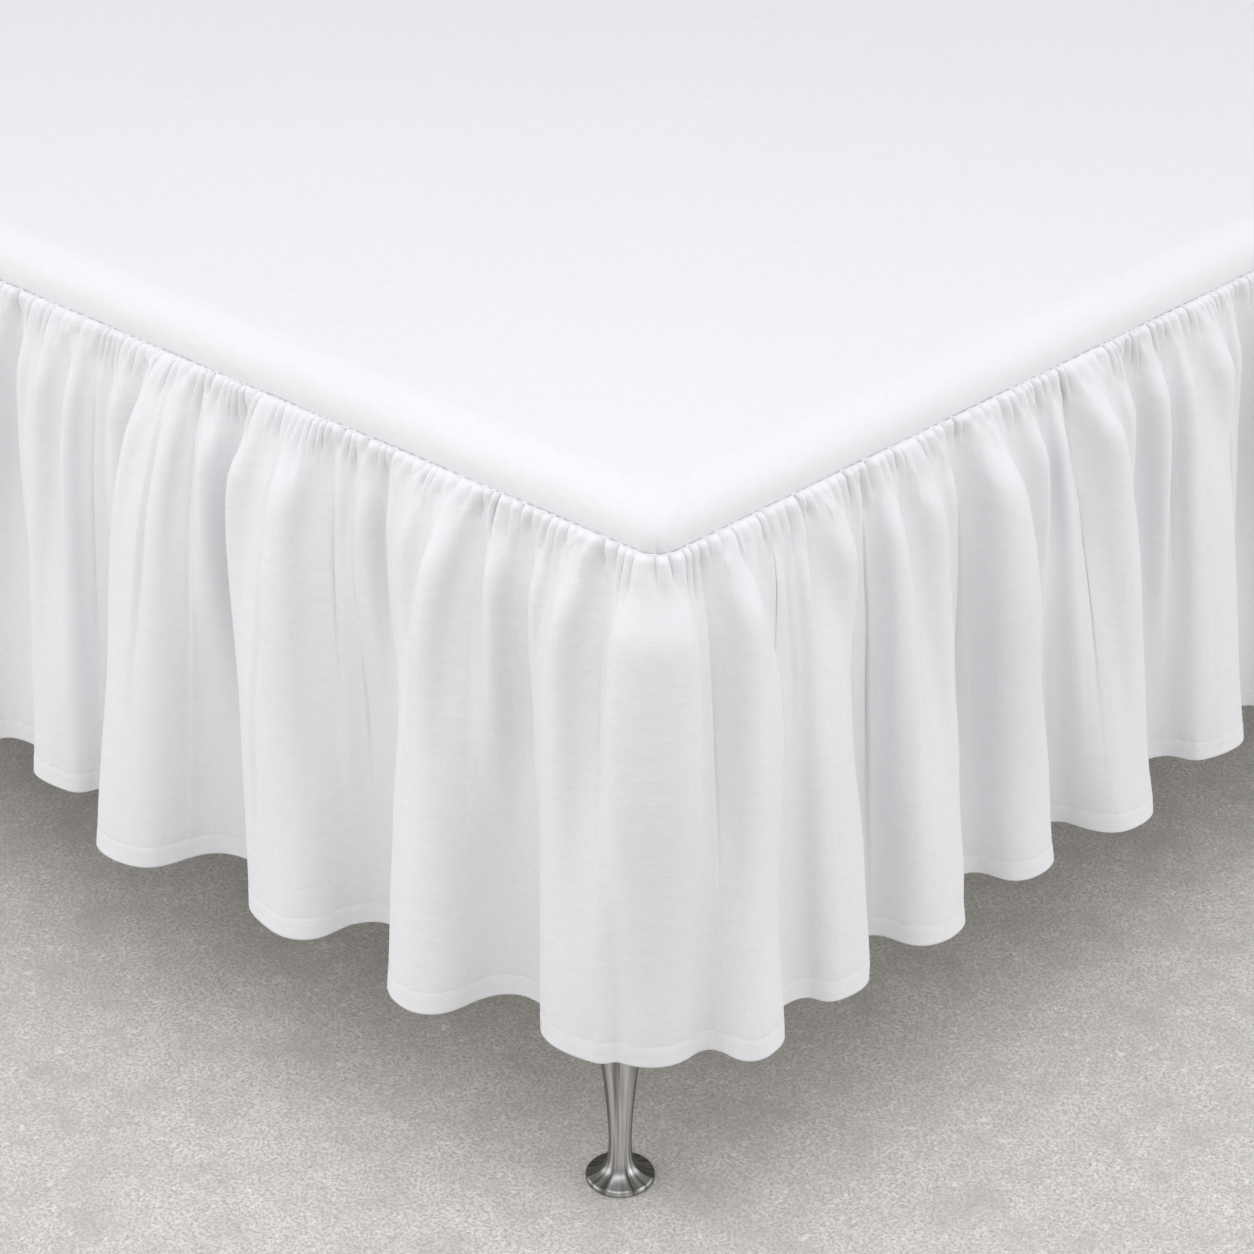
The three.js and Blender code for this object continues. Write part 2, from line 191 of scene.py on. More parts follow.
class SkirtSizes(bpy.types.PropertyGroup):
    bed_width: metres("Bed width", 1.372, "Width of the bed base")
    bed_length: metres("Bed length", 1.905, "Length of the bed base")
    top_height: metres("Top height", 0.544, "Floor to the top of the platform panel")
    seam_height: metres("Seam height", 0.512, "Floor to the gathered seam")
    underside: metres("Base underside", 0.185, "Floor to the underside of the bed base")
    drop: metres("Drop", 0.362, "Gathered seam to the hem")
    hem_depth: metres("Hem depth", 0.0152, "Hem edge to its line of stitching")
    gather_pitch: metres("Gather pitch", 0.0080, "Mean distance between the small creases at the seam")
    gather_height: metres("Gather height", 0.0080, "Depth of a full crease under the seam")
    fold_height: metres("Soft fold height", 0.0170, "Depth of a full soft valley between two folds")
    cloth_thickness: metres("Cloth thickness", 0.0012, "Thickness of one layer as it hangs")
    stitch_pitch: metres("Stitch pitch", 0.0032, "Distance between the hem's stitches")
    seed: IntProperty(
        name="Seed", description="Changes how the gathers and soft folds fall", default=11, min=0
    )


class SkirtColours(bpy.types.PropertyGroup):
    cloth: tint("Skirt cloth", (0.775, 0.775, 0.795), "Colour of the skirt and its panel")
    cover: tint("Base cover", (0.72, 0.71, 0.68), "Colour of the bed base's plain cover")
    thread: tint("Thread", (0.80, 0.80, 0.82), "Colour of the hem's stitching")
    steel: tint("Leg steel", (0.62, 0.615, 0.61), "Colour of the brushed legs")
    floor: tint("Floor", (0.655, 0.632, 0.603), "Colour of the stage floor")


# ---- seam line and hang


class Hang:
    """How the cloth hangs: main folds on a seam line round three sides of the bed, in millimetres."""

    def __init__(self, sizes):
        self.half_width = sizes.bed_width / MM / 2 + SIDE_CLEARANCE + CLOTH
        self.half_length = sizes.bed_length / MM / 2 + SIDE_CLEARANCE + CLOTH
        self.reach = max(fold[2] for fold in FOOT_FOLDS)
        self.middle_y = self.reach / 2
        self.corner_arc = math.pi / 2 * SEAM_CORNER
        self.side_run = 2 * (self.half_length - SEAM_CORNER)
        self.foot_run = 2 * (self.half_width - SEAM_CORNER)
        self.end = 2 * self.side_run + 2 * self.corner_arc + self.foot_run
        self.left_corner = self.side_run + self.corner_arc / 2
        self.right_corner = self.side_run + 1.5 * self.corner_arc + self.foot_run
        self.seam_height = sizes.seam_height / MM
        self.drop = sizes.drop / MM
        self.seam, self.hem, self.out = self.stations()
        self.last = len(self.seam) - 1
        self.left_join = 2 * len(SIDE_FOLDS) - 2 + JOIN_PHASE
        self.right_join = self.last - 2 * len(SIDE_FOLDS) + 1 + JOIN_PHASE

    def stations(self):
        """Crests and valleys in order: place on the seam line, place at the hem, and how far out there."""
        foot_end = self.side_run + self.corner_arc + self.foot_run
        left = self.side_run + SEAM_CORNER - LEFT_SIDE_FLIP
        foot = foot_end + SEAM_CORNER
        right = foot_end + self.corner_arc - SEAM_CORNER
        crests = [(left + seam, left + hem, out) for seam, hem, out, _ in SIDE_FOLDS]
        crests += [(foot - seam, foot - hem, out) for seam, hem, out, _ in reversed(FOOT_FOLDS)]
        crests += [(right + seam, right + hem, out) for seam, hem, out, _ in SIDE_FOLDS]
        side_valleys = [fold[3] for fold in SIDE_FOLDS]
        valleys = side_valleys[:-1] + [CORNER_STAND_OFF]
        valleys += [fold[3] for fold in reversed(FOOT_FOLDS[:-1])] + [CORNER_STAND_OFF]
        valleys += side_valleys
        beyond = (2 * self.end - crests[-1][0], 2 * self.end - crests[-1][1], 0)
        found = [(0, 0, END_STAND_OFF)]
        for crest, after, valley in zip(crests, crests[1:] + [beyond], valleys):
            found += [crest, ((crest[0] + after[0]) / 2, (crest[1] + after[1]) / 2, valley)]
        seam, hem, out = (np.array(column, float) for column in zip(*found))
        # the valley at a foot corner slips round on to the side by its hem
        corner = 2 * len(SIDE_FOLDS)
        hem[corner] -= CORNER_SLIP
        hem[-1 - corner] += CORNER_SLIP
        return seam, hem, out

    def seam_at(self, along):
        """x, y and the outward direction of places on the seam line."""
        on_left = along - self.side_run
        on_foot = on_left - self.corner_arc
        on_right_corner = on_foot - self.foot_run
        on_right = on_right_corner - self.corner_arc
        turned = np.clip(on_left, 0, self.corner_arc) + np.clip(on_right_corner, 0, self.corner_arc)
        facing = math.pi + turned / SEAM_CORNER
        out_x, out_y = np.cos(facing), np.sin(facing)
        x = (np.clip(on_foot, 0, self.foot_run) - self.foot_run / 2) + SEAM_CORNER * out_x
        y = self.side_run / 2 - np.minimum(along, self.side_run) + np.maximum(on_right, 0)
        return x, y + SEAM_CORNER * out_y, out_x, out_y

    def fold(self, place, depth):
        """Middle of the cloth with its main folds alone, at places on the seam and depths of 0 to 1."""
        phase = np.interp(place, self.seam, np.arange(len(self.seam)))
        index = np.clip(np.floor(phase).astype(int), 0, self.last - 1)
        share = phase - index
        steep = share + FLANK_STEEPNESS * np.sin(2 * math.pi * share) / (2 * math.pi)
        wave = (1 - np.cos(math.pi * share)) / 2
        at_seam = self.seam[index] + (self.seam[index + 1] - self.seam[index]) * share
        at_hem = self.hem[index] + (self.hem[index + 1] - self.hem[index]) * steep
        x, y, out_x, out_y = self.seam_at(at_seam + (at_hem - at_seam) * depth)
        hem_out = self.out[index] + (self.out[index + 1] - self.out[index]) * wave
        out = hem_out * np.maximum(depth, 0) ** RISE_POWER - CLOTH / 2
        fall = self.drop - HEM_LIFT * hem_out / self.reach
        return np.stack([x + out_x * out, y + out_y * out, self.seam_height - TOUCH_GAP - depth * fall], -1)


def smooth(low, high, value):
    """0 below low, 1 above high, and an even turn between them."""
    t = np.clip((value - low) / (high - low), 0, 1)
    return t * t * (3 - 2 * t)


def hollow(share):
    """A round hollow: 1 at its middle, 0 from half way to the next one."""
    return 0.5 + 0.5 * np.cos(2 * math.pi * np.minimum(share, 0.5))


def lean_over(share, after, power):
    """Moves the ridge between two hollows towards the first, or towards the second where after is 1."""
    return (1 - (1 - share) ** power) * (1 - after) + share ** power * after


def soft_noise(rng, waves, place, depth, place_length, depth_length):
    """A sum of seeded long waves, about -1 to 1."""
    total = np.zeros(np.broadcast(place, depth).shape)
    for _ in range(waves):
        a = rng.uniform(0.6, 1.7) * 2 * math.pi / place_length
        b = rng.uniform(-1.2, 1.2) * 2 * math.pi / depth_length
        total += np.sin(a * place + b * depth + rng.uniform(0, 2 * math.pi))
    return total / math.sqrt(waves)


def cut_points(rng, start, end, pitch, spread):
    """Places from start to end, about a pitch apart, each step up to e ** spread longer or shorter."""
    count = max(1, round((end - start) / pitch))
    steps = np.exp(rng.uniform(-spread, spread, count))
    return start + (end - start) * np.concatenate([[0], np.cumsum(steps)]) / steps.sum()


class Gathers:
    """The creases at the seam and the soft valleys that they run into, all along it, in millimetres."""

    def __init__(self, hang, sizes):
        rng = np.random.default_rng(sizes.seed)
        self.hang = hang
        self.rng_seed = sizes.seed + 1
        foot = hang.right_corner + SEAM_CORNER - hang.corner_arc / 2
        side = hang.right_corner - SEAM_CORNER + hang.corner_arc / 2
        self.creases = cut_points(rng, 0, hang.end, sizes.gather_pitch / MM, 0.5)
        count = len(self.creases)
        self.crease_depth = rng.uniform(0.4, 1.0, count) * sizes.gather_height / MM
        self.crease_length = rng.uniform(10, 32, count) + 26 * rng.uniform(0, 1, count) ** 3

        known = [(foot - place, depth, lasts) for place, depth, lasts in reversed(FOOT_VALLEYS)]
        known += [(side + place, depth, lasts) for place, depth, lasts in SIDE_VALLEYS]
        low, high = known[0][0], known[-1][0]
        narrow = 80
        before, after = [], []
        for i in range(2, hang.last, 2):
            middle = hang.seam[i]
            span = hang.seam[i + 1] - hang.seam[i - 1]
            # one deep valley between two main folds, and one or two shallow ones beside it
            found = [(middle + rng.uniform(-6, 6), rng.uniform(7, 11), rng.uniform(200, 330))]
            for share in (-0.36, 0.36) if span > narrow else (0.45,):
                place = middle + span * (share + rng.uniform(-0.07, 0.07))
                found.append((place, rng.uniform(3, 8.5), rng.uniform(70, 260)))
            before += [valley for valley in found if valley[0] < low - VALLEY_ROOM]
            after += [valley for valley in found if valley[0] > high + VALLEY_ROOM]
        valleys = [(0, *END_VALLEY), *sorted(before), *known, *sorted(after), (hang.end, *END_VALLEY)]
        kept = [valleys[0]]
        for valley in valleys[1:]:
            if valley[0] - kept[-1][0] > LEAST_VALLEY_STEP:
                kept.append(valley)
        self.valleys, depth, self.valley_length = (np.array(column, float) for column in zip(*kept))
        self.valley_depth = depth / 10 * sizes.fold_height / MM

    def within(self, edges, place):
        """The step between two edges that each place is on, and its share of the way."""
        index = np.clip(np.searchsorted(edges, place, side="right") - 1, 0, len(edges) - 2)
        return index, np.clip((place - edges[index]) / (edges[index + 1] - edges[index]), 0, 1)

    def columns(self, start, end):
        """Places on the seam line, closer at each crease. Far up the sides there are fewer."""
        room = 2
        inner = self.creases[(self.creases > start + room) & (self.creases < end - room)]
        edges = np.concatenate([[start], inner, [end]])
        places = []
        for edge, after in zip(edges[:-1], edges[1:]):
            near = self.hang.left_corner - NEAR_SIDE < edge < self.hang.right_corner + NEAR_SIDE
            shares = NEAR_SHARES if near else FAR_SHARES
            places += [edge + (after - edge) * share for share in shares]
        return np.array(places + [end])

    def shape(self, place, down):
        """How far cloth stands out past its main folds, and slides along the seam, at places and depths."""
        hang = self.hang
        # the steep side of each crease and valley faces away from the nearer foot corner
        middle = (hang.left_corner + hang.right_corner) / 2
        turn = smooth(middle - 150, middle + 150, place)
        from_left = np.tanh((place - hang.left_corner) / 60)
        from_right = np.tanh((place - hang.right_corner) / 60)
        away = from_left * (1 - turn) + from_right * turn
        after = smooth(-0.9, 0.9, away)

        # small creases: sharp at the seam, rounder further down, each with its own length
        k, u = self.within(self.creases, place)
        u = lean_over(u, after, CREASE_LEAN)
        soften = smooth(8, 30, down)
        crease = 0
        for at, share in ((k, u), (k + 1, 1 - u)):
            crisp = (1 - share) ** 3
            round_ = hollow(share)
            lasts = self.crease_length[at]
            strength = self.crease_depth[at] * (1 - smooth(0.3 * lasts, lasts, down))
            crease = crease + strength * (0.30 - (crisp * (1 - soften) + round_ * soften))
        crease = crease * (0.2 + 0.8 * smooth(-0.5, 2.4, down))
        step = np.diff(self.creases)[k]
        slide = -0.05 * step * np.sin(2 * math.pi * u) * smooth(2, 8, down) * (1 - smooth(14, 40, down))

        # soft valleys: they widen on the way down, and lean over most a third of the way
        f, v = self.within(self.valleys, place)
        lean = 1 + VALLEY_LEAN * smooth(-10, 85, down) * (1 - 0.55 * smooth(130, 330, down))
        v = lean_over(v, after, lean)
        widen = smooth(4, 60, down)
        valley, weight = 0, 0
        for at, share in ((f, v), (f + 1, 1 - v)):
            lasts = self.valley_length[at]
            strength = self.valley_depth[at] * (1 - 0.9 * smooth(0.4 * lasts, 1.15 * lasts, down))
            narrow = (1 - share) ** 4
            wide = hollow(share)
            valley = valley + strength * (0.15 + 0.3 * widen - narrow * (1 - widen) - wide * widen)
            weight = weight + strength * (1 - share)
        step = np.diff(self.valleys)[f]
        grow = 0.12 * smooth(0.5, 4, down) + 0.28 * smooth(3, 16, down) + 0.6 * smooth(8, 55, down)
        valley = valley * grow * np.clip(step / 32, 0.6, 1.25)
        slide = slide + 0.03 * step * np.sin(4 * math.pi * v) * grow * np.clip(weight / 10, 0, 1)

        # the heading puffs out over the seam, and the cloth fans out from a foot corner
        puff = (2.0 + 1.8 * smooth(-0.6, 3.0, down)) * (1 - 0.5 * smooth(8, 60, down))
        out = crease + valley + puff
        slide = slide + away * (0.24 * np.minimum(down, 22) + 0.05 * np.clip(down - 22, 0, 80))
        rng = np.random.default_rng(self.rng_seed)
        out = out + 0.9 * soft_noise(rng, 6, place, down, 150, 260) * smooth(10, 80, down)
        out = out + 0.3 * soft_noise(rng, 7, place, down, 46, 90) * smooth(30, 120, down)
        return out, slide


# ---- meshes


def deselect():
    if bpy.context.mode != "OBJECT":
        bpy.ops.object.mode_set(mode="OBJECT")
    bpy.ops.object.select_all(action="DESELECT")


def make_object(name, mesh):
    piece = bpy.data.objects.new(name, mesh)
    bpy.context.scene.collection.objects.link(piece)
    return piece


def mesh_from(name, points, faces, uv=None):
    """A mesh in metres from points in metres, faces, and a cloth UV for each point."""
    mesh = bpy.data.meshes.new(name)
    mesh.from_pydata([tuple(p) for p in points], [], faces)
    mesh.shade_smooth()
    if uv is not None:
        layer = mesh.uv_layers.new(name="cloth")
        corner = np.empty(len(mesh.loops), np.int32)
        mesh.loops.foreach_get("vertex_index", corner)
        layer.data.foreach_set("uv", np.asarray(uv, np.float32)[corner].ravel())
    mesh.validate()
    mesh.update()
    return mesh


def grid_normals(points):
    """Unit outward normals of a grid of points [columns, rows, 3] whose columns go round the bed."""
    along = np.gradient(points, axis=0)
    down = np.gradient(points, axis=1)
    normal = np.cross(down, along)
    return normal / np.maximum(np.linalg.norm(normal, axis=-1, keepdims=True), 1e-9)


def cloth_rows(hem_depth, fall):
    """Rows of the cloth below the seam in mm: the heading, the body, the stitch line, and the hem."""
    stitch = fall - hem_depth
    room = 6
    rows = list(HEADING_ROWS) + [row for row in BODY_ROWS if row < stitch - room]
    rows += [stitch - above for above in HEM_TOP_ROWS]
    rows += [fall - above for above in HEM_FOOT_ROWS]
    return np.array(rows)


def hanging_cloth(hang, gathers, places, rows, hem_depth):
    """Middle surface of a ruffle as a grid [columns, rows, 3] in mm."""
    place = places[:, None]
    down = rows[None, :]
    depth = down / rows[-1]
    out, slide = gathers.shape(place, down)
    moved = np.clip(place + slide, hang.seam[0], hang.seam[-1])
    step = 0.5
    middle = hang.fold(moved, depth)
    ahead = hang.fold(np.clip(moved + step, 0, hang.end), depth)
    behind = hang.fold(np.clip(moved - step, 0, hang.end), depth)
    along = (ahead - behind)[..., :2]
    along /= np.maximum(np.linalg.norm(along, axis=-1, keepdims=True), 1e-9)
    normal = np.stack([along[..., 1], -along[..., 0]], -1)
    # the hem: a shallow groove at the stitches, a slightly fuller band below, small puckers
    above_stitch = down - (rows[-1] - hem_depth)
    rng = np.random.default_rng(gathers.rng_seed + 5)
    pucker = soft_noise(rng, 9, place, 0 * down, 13, 50) * np.exp(-((above_stitch / 9) ** 2)) * 0.32
    groove = -0.28 * np.exp(-((above_stitch / 0.9) ** 2)) + 0.12 * smooth(0.4, 2.5, above_stitch)
    flare = soft_noise(rng, 5, place, 0 * down, 60, 50) * smooth(-60, 17, above_stitch) * 0.7
    out = out + pucker + groove + flare
    middle[..., :2] += normal * out[..., None]
    return keep_off(hang, middle)


def keep_off(hang, middle):
    """Eases a ruffle out wherever a hollow would come closer to the base than the panel's own edge."""
    over = np.abs(middle[..., :2]) - (np.array((hang.half_width, hang.half_length)) - SEAM_CORNER)
    past = np.maximum(over, 0)
    far = np.hypot(past[..., 0], past[..., 1])
    clear = far + np.minimum(np.maximum(over[..., 0], over[..., 1]), 0) - SEAM_CORNER
    push = KEEP_SOFT * np.log1p(np.exp(-(clear - KEEP_CLEAR) / KEEP_SOFT))
    push = push * smooth(3, 25, hang.seam_height - middle[..., 2])
    push = np.maximum(push, KEEP_FLOOR - clear)
    across = over[..., 0] > over[..., 1]
    turn = np.stack([across, ~across], -1)
    turn = np.where(far[..., None] > 0, past / np.maximum(far, 1e-9)[..., None], turn)
    middle[..., :2] += np.sign(middle[..., :2]) * turn * push[..., None]
    return middle


def ruffle_mesh(name, middle, hang, sizes, rows):
    """A closed cloth of one layer, doubled over its hem, from the middle surface in mm."""
    columns, count, _ = middle.shape
    normal = grid_normals(middle)
    half = sizes.cloth_thickness / MM / 2
    above = rows[-1] - rows
    hem = smooth(-0.2, 0.6, sizes.hem_depth / MM + 0.2 - above)
    outer = middle + normal * half
    inner = middle - normal * (half + HEM_DOUBLE * hem * smooth(0, 1.6, above))[None, :, None]
    low = middle[:, -1] - np.array([0, 0, half * 0.9])
    loop = np.concatenate([outer, low[:, None], inner[:, ::-1]], 1)
    size = loop.shape[1]
    points = loop.reshape(-1, 3).copy()
    points[:, 1] += hang.middle_y
    i = np.arange(columns - 1)[:, None] * size + np.arange(size)[None, :]
    after = np.arange(columns - 1)[:, None] * size + (np.arange(size)[None, :] + 1) % size
    quads = np.stack([i, after, after + size, i + size], -1).reshape(-1, 4)
    faces = [tuple(int(v) for v in quad) for quad in quads]
    last = (columns - 1) * size
    for row in range(count):
        back = size - 1 - row
        cap = (row, back, back - 1, row + 1) if row < count - 1 else (row, back, row + 1)
        faces += [cap, tuple(last + v for v in (row, *cap[:0:-1]))]
    # cloth coordinates: along the cloth at a third of its drop, and down it
    third = int(np.searchsorted(rows, rows[-1] / 3))
    steps = np.linalg.norm(np.diff(middle[:, third], axis=0), axis=-1)
    across = np.concatenate([[0], np.cumsum(steps)]) * MM
    fall = np.concatenate([rows, [rows[-1] + 0.5], rows[::-1]]) * MM
    uv = np.stack(np.broadcast_arrays(across[:, None], fall[None, :]), -1).reshape(-1, 2)
    return mesh_from(name, points * MM, faces, uv), float(across[-1])


def stitch_mesh(name, middle, rows, hang, sizes):
    """Short stitches, joined in one mesh, along the hem's line of stitching."""
    row = int(np.argmin(np.abs(rows - (rows[-1] - sizes.hem_depth / MM))))
    normal = grid_normals(middle)[:, row]
    path = middle[:, row] + normal * (sizes.cloth_thickness / MM / 2 + STITCH_OFF_CLOTH)
    run = np.concatenate([[0], np.cumsum(np.linalg.norm(np.diff(path, axis=0), axis=-1))])
    pitch = sizes.stitch_pitch / MM
    length = pitch * STITCH_SHARE
    side = np.array([0, 0, STITCH_HALF])
    points, faces = [], []
    for start in np.arange(2, run[-1] - 4, pitch):
        base = len(points)
        for share in (0, 0.18, 0.82, 1):
            at = start + length * share
            place, facing = (
                np.array([np.interp(at, run, line[:, axis]) for axis in range(3)])
                for line in (path, normal)
            )
            if share in (0, 1):
                points.append(place - facing * STITCH_TIP)
            else:
                points += [place + side, place + facing * STITCH_HEIGHT]
                points += [place - side, place - facing * STITCH_ROOT]
        a, b = base + 1, base + 5
        for j in range(4):
            after = (j + 1) % 4
            faces += [(base, a + j, a + after), (a + j, b + j, b + after, a + after)]
            faces.append((b + j, base + 9, b + after))
    points = np.array(points)
    points[:, 1] += hang.middle_y
    mesh = mesh_from(name, points * MM, faces)
    # turn the faces to the outside
    work = bmesh.new()
    work.from_mesh(mesh)
    bmesh.ops.recalc_face_normals(work, faces=work.faces)
    work.to_mesh(mesh)
    work.free()
    mesh.update()
    return mesh


def panel_outline(hang):
    """Columns round the panel: (corner, next corner, share of the way, facing angle)."""
    arc, quarter = PANEL_CORNER_STEPS, math.pi / 2
    outline = []
    for corner in range(4):
        outline += [(corner, corner, 0, quarter * (corner + step / arc)) for step in range(arc)]
        half = hang.half_width if corner % 2 == 0 else hang.half_length
        coarse = max(1, round(2 * (half - SEAM_CORNER) / PANEL_STEP / PANEL_COARSE))
        count, after = PANEL_COARSE * coarse, corner + 1
        outline += [(corner, after % 4, step / count, quarter * after) for step in range(count)]
    return np.array(outline)


def panel_ring(hang, outline, inset):
    """Plan of a ring this far inside the seam line. Its corners grow rounder on the way in."""
    radius = SEAM_CORNER + CORNER_EASE * min(inset, EDGE_ROUND)
    radius += FLAT_CORNER_EASE * max(inset - EDGE_ROUND, 0)
    signs = np.array(((1, 1), (-1, 1), (-1, -1), (1, -1)))
    centres = signs * (np.array((hang.half_width, hang.half_length)) - inset - radius)
    here, after = centres[outline[:, 0].astype(int)], centres[outline[:, 1].astype(int)]
    centre = here + (after - here) * outline[:, 2:3]
    facing = np.stack([np.cos(outline[:, 3]), np.sin(outline[:, 3])], -1)
    return centre + facing * radius, facing


def ring_faces(low, high, count):
    """Faces between two closed rings of points, from the first point of each."""
    return [(low + i, low + (i + 1) % count, high + (i + 1) % count, high + i) for i in range(count)]


def panel_mesh(name, hang, sizes):
    """The platform panel: a thin closed sheet that lies on the base and turns down to the seam."""
    top, seam = sizes.top_height / MM, sizes.seam_height / MM
    rng = np.random.default_rng(sizes.seed + 20)
    outline = panel_outline(hang)
    count = len(outline)
    edge, facing = panel_ring(hang, outline, 0)
    steps = np.linalg.norm(np.roll(edge, -1, 0) - edge, axis=-1)
    turns = 2 * math.pi * np.concatenate([[0], np.cumsum(steps)[:-1]]) / steps.sum()

    def ripple(waves, low, high):
        total = np.zeros(count)
        for _ in range(waves):
            total += np.sin(int(rng.integers(low, high)) * turns + rng.uniform(0, 2 * math.pi))
        return total / math.sqrt(waves)

    short, slow = ripple(26, 340, 640), ripple(14, 18, 95)
    at_head = smooth(hang.half_length - 20, hang.half_length - 5, edge[:, 1])
    # a small dart at the edge's two foot corners
    corner_place = np.array((hang.half_width, -hang.half_length))
    corner_place = corner_place - np.array((1, -1)) * SEAM_CORNER * (1 - math.sqrt(0.5))
    dart = 0
    for side in (-1, 1):
        gap = np.linalg.norm(edge - corner_place * np.array((side, 1)), axis=-1)
        dart = dart + np.exp(-((gap / 1.3) ** 2))

    noise = np.random.default_rng(sizes.seed + 30)
    waves = []
    for _ in range(16):
        way = noise.uniform(-1, 1, 2) * 2 * math.pi / noise.uniform(120, 620)
        waves.append((*way, noise.uniform(0, 6.3)))

    def level(plan):
        """Faint rise and fall of the laid cloth."""
        return 0.11 * sum(np.sin(a * plan[:, 0] + b * plan[:, 1] + c) for a, b, c in waves)

    # Profile from the seam edge up, round the bend and in: (inset from the seam line, height)
    profile = [(0.4, seam - 1.6), (0.1, seam - 1.2)]
    profile += [(0, seam + above) for above in (-0.4, 1.2, 3.4)] + [(0, top - EDGE_ROUND)]
    for step in range(1, PANEL_BENDS + 1):
        turn = math.pi / 2 * step / PANEL_BENDS
        profile.append((EDGE_ROUND * (1 - math.cos(turn)), top - EDGE_ROUND * (1 - math.sin(turn))))
    profile += [(36, top), (48, top)]
    points, cloth = [], []
    insets, heights = (np.array(column) for column in zip(*profile))
    steps = np.hypot(np.diff(heights), np.diff(insets))
    fall = np.concatenate([np.cumsum(steps[::-1])[::-1], [0]])
    for inset, height, drop in zip(insets, heights, fall):
        plan, _ = panel_ring(hang, outline, inset)
        near_seam = math.exp(-(((height - seam) / 8) ** 2))
        by_the_bend = math.exp(-(((height - seam - 14) / 16) ** 2))
        wave = near_seam * (0.08 * short * (1 - at_head) - 0.9 * dart) + 0.5 * slow * by_the_bend
        plan = plan + facing * wave[:, None]
        rise = level(plan) * smooth(EDGE_ROUND * 0.6, 60, inset)
        points.append(np.column_stack([plan, height + rise]))
        cloth.append(panel_ring(hang, outline, insets[-1])[0] + facing * drop)
    rows = len(profile)
    faces = []
    for row in range(rows - 1):
        faces += ring_faces(row * count, (row + 1) * count, count)
    # Coarse rings, in towards the middle of the bed
    ribs, half = count // PANEL_COARSE, PANEL_COARSE // 2
    here, low = rows * count, (rows - 1) * count
    for rib in range(ribs):
        a, b = here + rib, here + (rib + 1) % ribs
        fine = [low + (PANEL_COARSE * rib + step) % count for step in range(PANEL_COARSE + 1)]
        faces += [(fine[step], fine[step + 1], a if step < half else b) for step in range(PANEL_COARSE)]
        faces.append((fine[half], b, a))
    for index, inset in enumerate(PANEL_COARSE_RINGS):
        plan, _ = panel_ring(hang, outline[::PANEL_COARSE], inset)
        points.append(np.column_stack([plan, top + level(plan)]))
        cloth.append(plan)
        if index:
            faces += ring_faces(here + (index - 1) * ribs, here + index * ribs, ribs)
    last = here + (len(PANEL_COARSE_RINGS) - 1) * ribs
    faces.append(tuple(range(last, last + ribs)))
    outer = np.concatenate(points)
    # The inner face: the same rings, a thickness further in, facing the other way
    work = bpy.data.meshes.new("panel_normals")
    work.from_pydata([tuple(p) for p in outer], [], faces)
    work.update()
    normals = np.empty(len(work.vertices) * 3, np.float32)
    work.vertices.foreach_get("normal", normals)
    bpy.data.meshes.remove(work)
    inner = outer - normals.reshape(-1, 3) * PANEL_THICKNESS
    inner[:count] = outer[:count]
    inner[:count, :2] -= facing * PANEL_THICKNESS * 0.6
    size = len(outer)
    faces += [tuple(size + v for v in reversed(face)) for face in faces]
    faces += [(i, size + i, size + (i + 1) % count, (i + 1) % count) for i in range(count)]
    both = np.concatenate([outer, inner])
    both[:, 1] += hang.middle_y
    cloth = np.concatenate(cloth) * MM
    return mesh_from(name, both * MM, faces, np.concatenate([cloth, cloth]))


# ---- materials


class Nodes:
    """Adds and links nodes in one tree."""

    def __init__(self, tree):
        self.tree = tree

    def fill(self, node, sockets):
        """Links a node's sockets, or sets them to plain values."""
        for socket, value in sockets:
            if isinstance(value, bpy.types.NodeSocket):
                self.tree.links.new(value, node.inputs[socket])
            else:
                node.inputs[socket].default_value = value
        return node

    def add(self, kind, sockets=(), **settings):
        node = self.tree.nodes.new("ShaderNode" + kind)
        for key, value in settings.items():
            setattr(node, key, value)
        return self.fill(node, sockets)

    def math(self, operation, *values):
        return self.add("Math", enumerate(values), operation=operation).outputs[0]

    def vector(self, operation, *values):
        return self.add("VectorMath", enumerate(values), operation=operation).outputs[0]

    def stretch(self, vector, scale):
        return self.vector("MULTIPLY", vector, scale)

    def noise(self, vector, scale, detail=2.0, roughness=0.5, distortion=0.0, output="Fac"):
        names = ("Vector", "Scale", "Detail", "Roughness", "Distortion")
        values = (vector, scale, detail, roughness, distortion)
        return self.add("TexNoise", zip(names, values)).outputs[output]

    def range(self, value, low, high, to_low=0.0, to_high=1.0):
        names = ("Value", "From Min", "From Max", "To Min", "To Max")
        return self.add("MapRange", zip(names, (value, low, high, to_low, to_high))).outputs["Result"]

    def both(self, first, share, second):
        """Two values together, with a share of the first and the rest of the second."""
        first = self.math("MULTIPLY", first, share)
        return self.math("ADD", first, self.math("MULTIPLY", second, 1 - share))

    def mix(self, factor, *colours):
        """From the first colour to the second, each a socket or three numbers."""
        first, second = ((*colour, 1) if isinstance(colour, tuple) else colour for colour in colours)
        return self.add("Mix", [(0, factor), (6, first), (7, second)], data_type="RGBA").outputs[2]

    def bump(self, height, strength, distance, **under):
        sockets = [("Height", height), ("Strength", strength), ("Distance", distance), *under.items()]
        return self.add("Bump", sockets).outputs[0]

    def body(self):
        return self.add("TexCoord").outputs["Object"]

    def unrolled(self, uv_map):
        return self.add("UVMap", uv_map=uv_map).outputs["UV"]


def toned(colour, share):
    """A darker or lighter tone of a colour."""
    return tuple(min(1.0, part * share) for part in colour)


